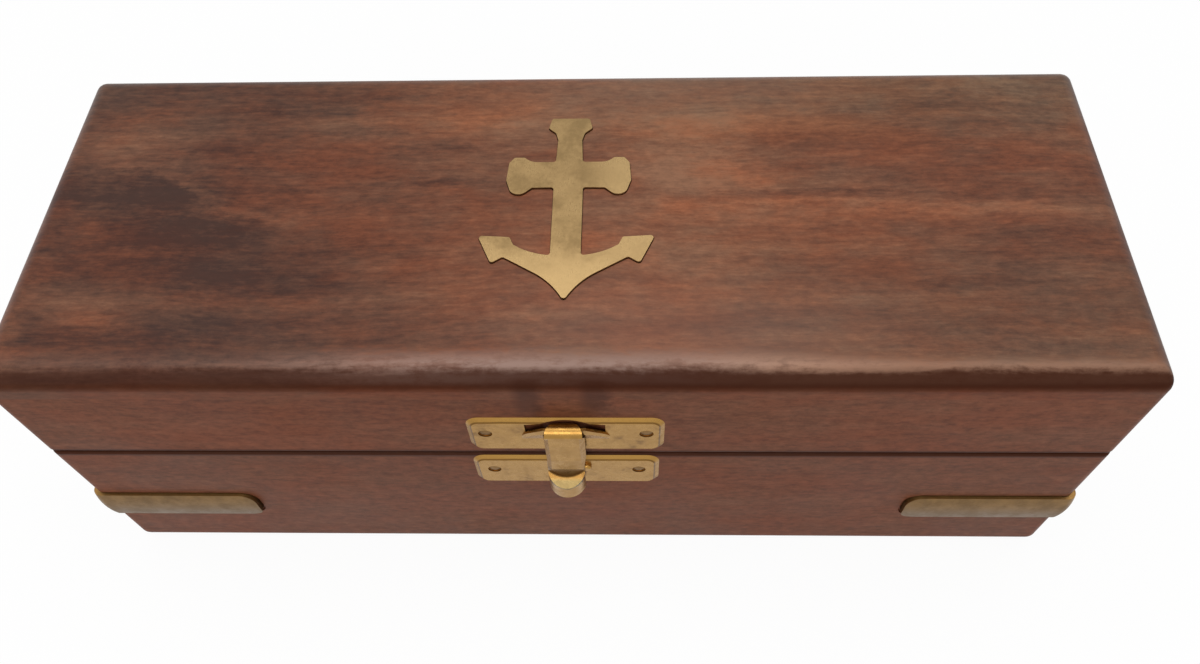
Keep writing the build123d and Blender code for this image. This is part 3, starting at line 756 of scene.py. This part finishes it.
def make_camera():
    """The camera at the photograph's place and angle."""
    tilt, turn, roll = (math.radians(a) for a in (CAMERA_TILT, CAMERA_TURN, CAMERA_ROLL))
    heading = Matrix.Rotation(turn, 3, "Z")
    forward = heading @ Vector((0, math.cos(tilt), -math.sin(tilt)))
    level = heading @ Vector((1, 0, 0))
    upright = heading @ Vector((0, math.sin(tilt), math.cos(tilt)))
    right = math.cos(roll) * level + math.sin(roll) * upright
    up = math.cos(roll) * upright - math.sin(roll) * level
    facing = Matrix((right, up, -forward)).transposed().to_4x4()
    data = bpy.data.cameras.new("camera")
    data.sensor_width = SENSOR
    data.lens = LENS
    data.clip_start = CAMERA_NEAR
    camera = bpy.data.objects.new("camera", data)
    bpy.context.collection.objects.link(camera)
    camera.matrix_world = Matrix.Translation(CAMERA_PLACE) @ facing
    bpy.context.scene.camera = camera


def make_light(name, place, target, size, power, colour):
    """A soft rectangular light that looks at a point."""
    data = bpy.data.lights.new(name, "AREA")
    data.shape = "RECTANGLE"
    data.size, data.size_y = size
    data.energy = power
    data.color = colour
    light = bpy.data.objects.new(name, data)
    bpy.context.collection.objects.link(light)
    light.location = place
    light.rotation_euler = (Vector(target) - Vector(place)).to_track_quat("-Z", "Y").to_euler()


def seen_rays(tree):
    """Whether a ray comes from the camera, or by way of metal or glass."""
    rays = tree.nodes.new("ShaderNodeLightPath")
    seen = rays.outputs["Is Camera Ray"]
    for kind in ("Is Glossy Ray", "Is Transmission Ray"):
        either = tree.nodes.new("ShaderNodeMath")
        either.operation = "MAXIMUM"
        tree.links.new(seen, either.inputs[0])
        tree.links.new(rays.outputs[kind], either.inputs[1])
        seen = either.outputs[0]
    return seen


def choose(tree, share, first, second, output):
    """Mix two shaders into an output."""
    chosen = tree.nodes.new("ShaderNodeMixShader")
    for socket, source in zip(chosen.inputs, (share, first, second)):
        tree.links.new(source, socket)
    tree.links.new(chosen.outputs[0], tree.nodes[output].inputs["Surface"])


def make_floor():
    """A white floor that keeps the shadow of the box."""
    mesh = bpy.data.meshes.new("floor")
    signs = ((-1, -1), (1, -1), (1, 1), (-1, 1))
    corners = [(x * FLOOR_REACH, y * FLOOR_REACH, 0) for x, y in signs]
    mesh.from_pydata(corners, [], [(0, 1, 2, 3)])
    floor = bpy.data.objects.new("floor", mesh)
    floor.location.z = -FLOOR_DROP
    bpy.context.collection.objects.link(floor)
    paper = Graph("paper")
    fibre = paper.noise(paper.place, scale=0.6, detail=4)
    texture = paper.bump(fibre, strength=0.05, depth=0.05)
    paper.finish(Base_Color=rgba(PAPER), Roughness=0.9, Normal=texture)
    white = paper.tree.nodes.new("ShaderNodeEmission")
    share = paper.times(seen_rays(paper.tree), WHITE_SHARE)
    choose(paper.tree, share, paper.shader.outputs[0], white.outputs[0], "Material Output")
    mesh.materials.append(paper.material)


def make_world():
    """Dim even light, with a white background to the eye and in reflections."""
    world = bpy.data.worlds.new("studio")
    bpy.context.scene.world = world
    world.use_nodes = True
    tree = world.node_tree
    ambient = tree.nodes["Background"]
    ambient.inputs["Color"].default_value = rgba(AMBIENT)
    ambient.inputs["Strength"].default_value = AMBIENT_STRENGTH
    backdrop = tree.nodes.new("ShaderNodeBackground")
    backdrop.inputs["Color"].default_value = (1.0, 1.0, 1.0, 1.0)
    choose(tree, seen_rays(tree), ambient.outputs[0], backdrop.outputs[0], "World Output")


make_camera()
make_floor()
make_world()
for light in LIGHTS:
    make_light(*light)
bpy.context.scene.view_settings.view_transform = "Standard"
make_materials()
make_linings()
